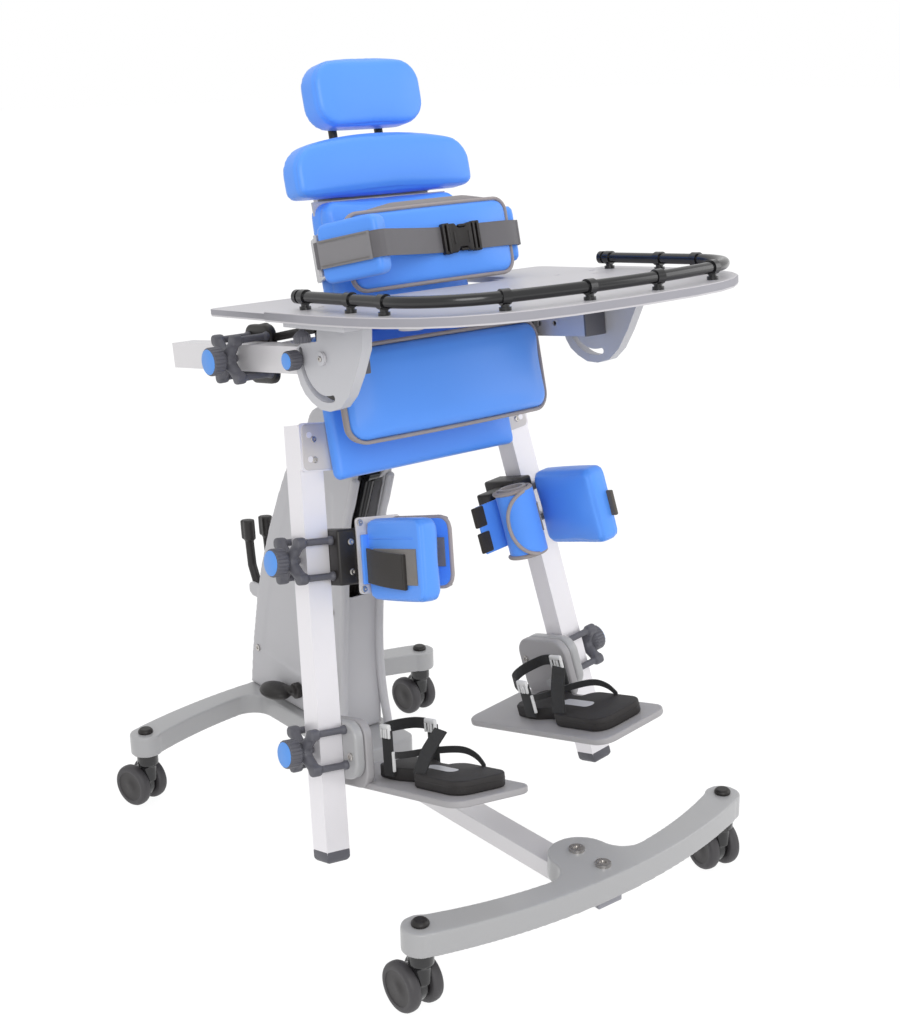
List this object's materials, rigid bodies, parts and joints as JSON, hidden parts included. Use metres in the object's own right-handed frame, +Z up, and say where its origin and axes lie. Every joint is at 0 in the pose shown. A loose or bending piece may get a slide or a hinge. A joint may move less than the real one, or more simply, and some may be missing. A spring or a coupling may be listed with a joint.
{
  "type": "standing frame",
  "caption": "Wheeled standing frame with a tilting body support, cushioned hip, back and head rests, spreading legs with knee and foot holders, and a railed tray.",
  "frame": {"origin": "on the floor, midway between the front and rear castor stems, on the mid plane", "axes": "+Z up, -Y towards the front (the way the user faces), +X towards the user's left"},
  "size_m": [0.6048, 0.8919, 1.1214],
  "materials": {
    "cast_grey": "satin",
    "tower_grey": "satin",
    "aluminium": "satin",
    "steel": "polished",
    "black_plastic": "satin",
    "black_rail": "gloss",
    "tyre_grey": "matte",
    "slate": "satin",
    "blue_vinyl": "satin",
    "webbing": "matte",
    "sandal_black": "matte",
    "tray_grey": "satin"
  },
  "bodies": {
    "chassis": {"rear_foot": "cast_grey", "front_foot": "cast_grey", "base_beam": "aluminium", "chassis_screws": "steel", "castor_caps": "black_plastic", "tower_shell": "tower_grey"},
    "castor_fr": {"castor_fork_fr": "black_plastic"},
    "wheels_fr": {"castor_wheels_fr": "tyre_grey"},
    "castor_fl": {"castor_fork_fl": "black_plastic"},
    "wheels_fl": {"castor_wheels_fl": "tyre_grey"},
    "castor_rr": {"castor_fork_rr": "black_plastic"},
    "wheels_rr": {"castor_wheels_rr": "tyre_grey"},
    "castor_rl": {"castor_fork_rl": "black_plastic"},
    "wheels_rl": {"castor_wheels_rl": "tyre_grey"},
    "pedal": {"foot_pedal": "black_plastic"},
    "lever": {"release_lever": "black_plastic"},
    "strut_cylinder": {"strut_cylinder": "black_plastic"},
    "strut_rod": {"strut_rod": "steel"},
    "frame": {"backrest_frame": "tower_grey", "chest_brackets": "tower_grey", "side_bars": "aluminium", "hip_cushion": "blue_vinyl", "back_cushion": "blue_vinyl", "shoulder_cushion": "blue_vinyl", "chest_pad": "blue_vinyl", "chest_lateral_r": "blue_vinyl", "chest_lateral_l": "blue_vinyl", "chest_belt": "webbing", "belt_buckle": "black_plastic"},
    "head": {"head_rods": "black_plastic", "head_cushion": "blue_vinyl"},
    "leg_r": {"leg_tube_r": "aluminium"},
    "knee_r": {"knee_clamp_r": "slate", "knee_cushion_r": "blue_vinyl", "knee_strap_r": "blue_vinyl"},
    "knee_knob_r": {"knee_knob_r": "slate"},
    "foot_r": {"foot_clamp_r": "cast_grey"},
    "foot_knob_r": {"foot_knob_r": "slate"},
    "footplate_r": {"footplate_r": "tower_grey", "sandal_r": "sandal_black"},
    "leg_l": {"leg_tube_l": "aluminium"},
    "knee_l": {"knee_clamp_l": "slate", "knee_cushion_l": "blue_vinyl", "knee_strap_l": "blue_vinyl"},
    "knee_knob_l": {"knee_knob_l": "slate"},
    "foot_l": {"foot_clamp_l": "cast_grey"},
    "foot_knob_l": {"foot_knob_l": "slate"},
    "footplate_l": {"footplate_l": "tower_grey", "sandal_l": "sandal_black"},
    "pelvic": {"hip_clamps": "slate", "pelvic_pad": "blue_vinyl"},
    "hip_knob_r": {"hip_knob_r": "slate"},
    "hip_knob_l": {"hip_knob_l": "slate"},
    "tray_bracket": {"tray_brackets": "tower_grey"},
    "tray": {"tray_board": "tray_grey", "tray_rail": "black_rail"},
    "tray_knob_r": {"tray_knob_r": "slate"},
    "slide_knob_r": {"slide_knob_r": "slate"},
    "tray_knob_l": {"tray_knob_l": "slate"},
    "slide_knob_l": {"slide_knob_l": "slate"}
  },
  "joints": [
    {"name": "swivel_fr", "type": "hinge", "parent": "chassis", "child": "castor_fr", "pos_m": [-0.267, -0.356, 0.09], "axis": [0, 0, 1], "continuous": true},
    {"name": "roll_fr", "type": "hinge", "parent": "castor_fr", "child": "wheels_fr", "pos_m": [-0.26731, -0.338, 0.033], "axis": [-0.9998, -0.0174, 0], "continuous": true},
    {"name": "swivel_fl", "type": "hinge", "parent": "chassis", "child": "castor_fl", "pos_m": [0.267, -0.356, 0.09], "axis": [0, 0, 1], "continuous": true},
    {"name": "roll_fl", "type": "hinge", "parent": "castor_fl", "child": "wheels_fl", "pos_m": [0.27013, -0.33827, 0.033], "axis": [-0.9848, 0.1736, 0], "continuous": true},
    {"name": "swivel_rr", "type": "hinge", "parent": "chassis", "child": "castor_rr", "pos_m": [-0.267, 0.356, 0.09], "axis": [0, 0, 1], "continuous": true},
    {"name": "roll_rr", "type": "hinge", "parent": "castor_rr", "child": "wheels_rr", "pos_m": [-0.27196, 0.3733, 0.033], "axis": [-0.9613, -0.2756, 0], "continuous": true},
    {"name": "swivel_rl", "type": "hinge", "parent": "chassis", "child": "castor_rl", "pos_m": [0.267, 0.356, 0.09], "axis": [0, 0, 1], "continuous": true},
    {"name": "roll_rl", "type": "hinge", "parent": "castor_rl", "child": "wheels_rl", "pos_m": [0.26512, 0.3739, 0.033], "axis": [-0.9945, -0.1045, 0], "continuous": true},
    {"name": "pedal_press", "type": "hinge", "parent": "chassis", "child": "pedal", "pos_m": [-0.04, 0.268, 0.158], "axis": [-1, 0, 0], "range_deg": [0, 8], "stiffness_Nm_per_rad": 3, "springref_deg": -14.32},
    {"name": "lever_squeeze", "type": "hinge", "parent": "chassis", "child": "lever", "pos_m": [0, 0.412, 0.288], "axis": [1, 0, 0], "range_deg": [0, 10], "stiffness_Nm_per_rad": 3, "springref_deg": -14.32},
    {"name": "strut_swing", "type": "hinge", "parent": "chassis", "child": "strut_cylinder", "pos_m": [0, 0.25, 0.172], "axis": [1, 0, 0], "range_deg": [-2, 2]},
    {"name": "strut_stroke", "type": "slide", "parent": "strut_cylinder", "child": "strut_rod", "axis": [0, -0.3623, 0.932], "range_m": [-0.02, 0.015]},
    {"name": "tilt", "type": "hinge", "parent": "chassis", "child": "frame", "pos_m": [0, 0.135, 0.592], "axis": [-1, 0, 0], "range_deg": [-13, 60]},
    {"name": "head_height", "type": "slide", "parent": "frame", "child": "head", "axis": [0, 0.2351, 0.972], "range_m": [-0.004, 0.08]},
    {"name": "leg_spread_r", "type": "hinge", "parent": "frame", "child": "leg_r", "pos_m": [-0.1284, 0.00328, 0.62509], "axis": [0, 0.972, -0.2351], "range_deg": [-5, 12]},
    {"name": "knee_height_r", "type": "slide", "parent": "leg_r", "child": "knee_r", "axis": [0.1184, 0.2335, 0.9651], "range_m": [-0.04, 0.03]},
    {"name": "knee_turn_r", "type": "hinge", "parent": "knee_r", "child": "knee_knob_r", "pos_m": [-0.24222, -0.02857, 0.49346], "axis": [0.993, -0.0278, -0.1151], "continuous": true},
    {"name": "foot_height_r", "type": "slide", "parent": "leg_r", "child": "foot_r", "axis": [0.1184, 0.2335, 0.9651], "range_m": [-0.05, 0.05]},
    {"name": "foot_turn_r", "type": "hinge", "parent": "foot_r", "child": "foot_knob_r", "pos_m": [-0.27206, -0.08741, 0.25025], "axis": [0.993, -0.0278, -0.1151], "continuous": true},
    {"name": "foot_tilt_r", "type": "hinge", "parent": "foot_r", "child": "footplate_r", "pos_m": [-0.18228, -0.10481, 0.21236], "axis": [0.993, -0.0278, -0.1151], "range_deg": [-12, 12]},
    {"name": "leg_spread_l", "type": "hinge", "parent": "frame", "child": "leg_l", "pos_m": [0.1284, 0.00328, 0.62509], "axis": [0, -0.972, 0.2351], "range_deg": [-5, 12]},
    {"name": "knee_height_l", "type": "slide", "parent": "leg_l", "child": "knee_l", "axis": [-0.1184, 0.2335, 0.9651], "range_m": [-0.04, 0.025]},
    {"name": "knee_turn_l", "type": "hinge", "parent": "knee_l", "child": "knee_knob_l", "pos_m": [0.24151, -0.02717, 0.49925], "axis": [-0.993, -0.0278, -0.1151], "continuous": true},
    {"name": "foot_height_l", "type": "slide", "parent": "leg_l", "child": "foot_l", "axis": [-0.1184, 0.2335, 0.9651], "range_m": [-0.06, 0.04]},
    {"name": "foot_turn_l", "type": "hinge", "parent": "foot_l", "child": "foot_knob_l", "pos_m": [0.26946, -0.08227, 0.27148], "axis": [-0.993, -0.0278, -0.1151], "continuous": true},
    {"name": "foot_tilt_l", "type": "hinge", "parent": "foot_l", "child": "footplate_l", "pos_m": [0.17967, -0.09967, 0.23359], "axis": [0.993, 0.0278, 0.1151], "range_deg": [-12, 12]},
    {"name": "pelvic_depth", "type": "slide", "parent": "frame", "child": "pelvic", "axis": [0, -0.9925, 0.1219], "range_m": [-0.02, 0.02]},
    {"name": "hip_turn_r", "type": "hinge", "parent": "pelvic", "child": "hip_knob_r", "pos_m": [-0.246, 0.09736, 0.74318], "axis": [1, 0, 0], "continuous": true},
    {"name": "hip_turn_l", "type": "hinge", "parent": "pelvic", "child": "hip_knob_l", "pos_m": [0.246, 0.09736, 0.74318], "axis": [1, 0, 0], "continuous": true},
    {"name": "tray_angle", "type": "hinge", "parent": "frame", "child": "tray_bracket", "pos_m": [0, -0.135, 0.778], "axis": [-1, 0, 0], "range_deg": [-2, 8]},
    {"name": "tray_depth", "type": "slide", "parent": "tray_bracket", "child": "tray", "axis": [0, -0.9969, 0.0785], "range_m": [-0.02, 0.08]},
    {"name": "tray_turn_r", "type": "hinge", "parent": "frame", "child": "tray_knob_r", "pos_m": [-0.24, -0.08562, 0.77018], "axis": [1, 0, 0], "continuous": true},
    {"name": "slide_turn_r", "type": "hinge", "parent": "tray_bracket", "child": "slide_knob_r", "pos_m": [-0.258, -0.13536, 0.80956], "axis": [0, 0.0785, 0.9969], "continuous": true},
    {"name": "tray_turn_l", "type": "hinge", "parent": "frame", "child": "tray_knob_l", "pos_m": [0.24, -0.08562, 0.77018], "axis": [1, 0, 0], "continuous": true},
    {"name": "slide_turn_l", "type": "hinge", "parent": "tray_bracket", "child": "slide_knob_l", "pos_m": [0.258, -0.13536, 0.80956], "axis": [0, 0.0785, 0.9969], "continuous": true}
  ]
}
